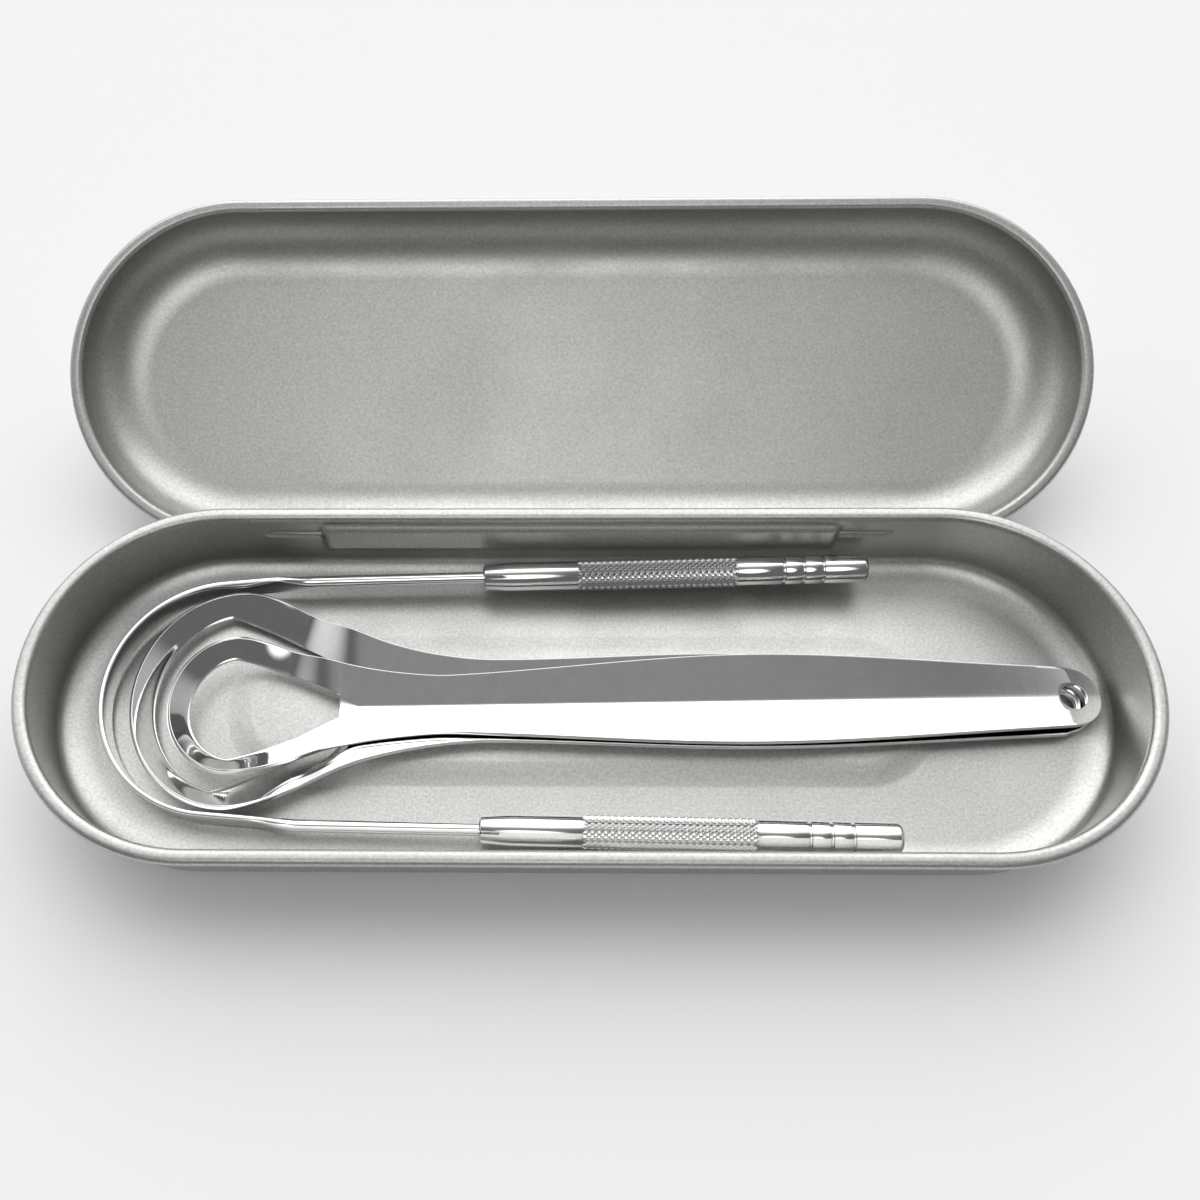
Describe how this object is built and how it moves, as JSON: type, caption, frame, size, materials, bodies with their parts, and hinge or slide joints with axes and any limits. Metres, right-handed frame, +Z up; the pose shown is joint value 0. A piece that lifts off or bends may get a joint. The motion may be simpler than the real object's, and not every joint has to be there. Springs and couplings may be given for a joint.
{
  "type": "tongue scraper set",
  "caption": "Tongue scraper set in a hinged round-ended tin: a bow scraper with knurled handles and nested loop scrapers of polished steel, lid folded back.",
  "frame": {"origin": "under the middle of the tin's base, on the plane that the base stands on", "axes": "+X along the tin towards the scrapers' tips, +Y towards the hinge, +Z up"},
  "size_m": [0.178, 0.113, 0.032],
  "materials": {
    "satin_tinplate": "satin tinplate with a fine mottled grain",
    "pin_wire": "bright drawn wire",
    "polished_steel": "mirror-polished stainless steel",
    "turned_steel": "polished turned steel with a knurled grip"
  },
  "bodies": {
    "base": {"base_pan": "satin_tinplate", "hinge_pin": "pin_wire"},
    "lid": {"lid_pan": "satin_tinplate"},
    "bow": {"bow_blade": "polished_steel", "rear_handle": "turned_steel", "front_handle": "turned_steel"},
    "wide": {"wide_loop_scraper": "polished_steel"},
    "narrow": {"narrow_loop_scraper": "polished_steel"}
  },
  "joints": [
    {"name": "lid_hinge", "type": "hinge", "parent": "base", "child": "lid", "pos_m": [0, 0.0282, 0.011], "axis": [1, 0, 0], "range_deg": [0, 153.52]},
    {"name": "bow_lift", "type": "slide", "parent": "base", "child": "bow", "axis": [0, 0, 1], "range_m": [0, 0.05]},
    {"name": "wide_lift", "type": "slide", "parent": "base", "child": "wide", "axis": [0, 0, 1], "range_m": [0, 0.05]},
    {"name": "narrow_lift", "type": "slide", "parent": "wide", "child": "narrow", "axis": [0, 0, 1], "range_m": [0, 0.05]}
  ]
}
